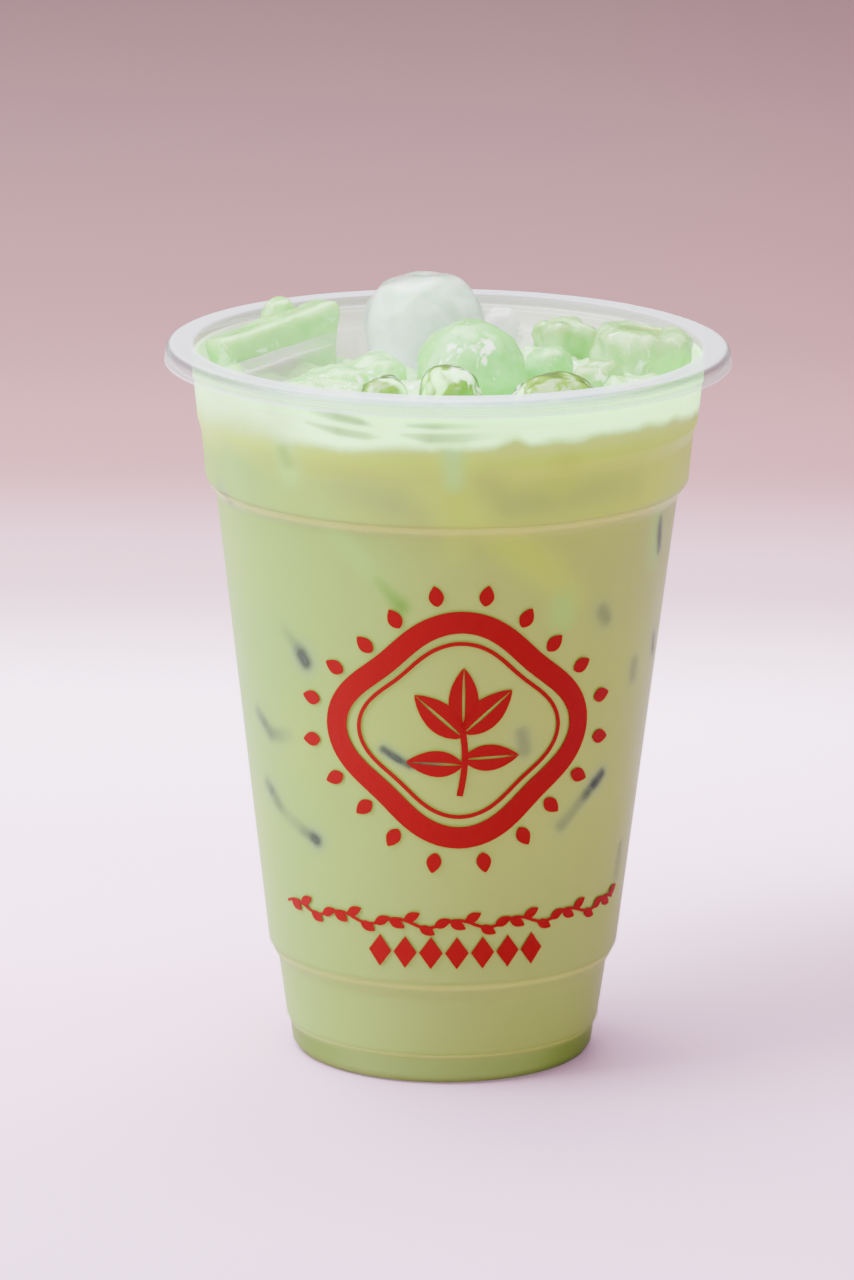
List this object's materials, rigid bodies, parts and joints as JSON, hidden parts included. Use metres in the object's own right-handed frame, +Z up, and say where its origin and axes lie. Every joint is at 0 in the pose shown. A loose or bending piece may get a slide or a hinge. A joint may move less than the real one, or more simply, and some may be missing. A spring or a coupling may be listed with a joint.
{
  "type": "iced green milk tea in a plastic cup",
  "caption": "Iced Thai green milk tea in a stepped clear plastic takeaway cup with a rolled lip; melting tube ice stands out of the pale green drink.",
  "frame": {"origin": "centre of the foot ring, on the table the cup stands on", "axes": "+Z up along the cup's axis; -Y towards the printed front; +X to the right of the front"},
  "size_m": [0.095, 0.095, 0.1317],
  "materials": {
    "cup": "clear, slightly frosted polypropylene",
    "drink": "opaque milky liquid",
    "ice": "wet melting ice"
  },
  "bodies": {
    "root": {"cup": "cup", "drink": "drink", "ice_back": "ice", "ice_back_left": "ice", "ice_chip": "ice", "ice_dome": "ice", "ice_flat": "ice", "ice_front": "ice", "ice_front_left": "ice", "ice_front_right": "ice", "ice_lying": "ice", "ice_middle": "ice", "ice_side_right": "ice", "ice_slab": "ice", "ice_tall": "ice", "ice_tube": "ice"}
  },
  "joints": []
}
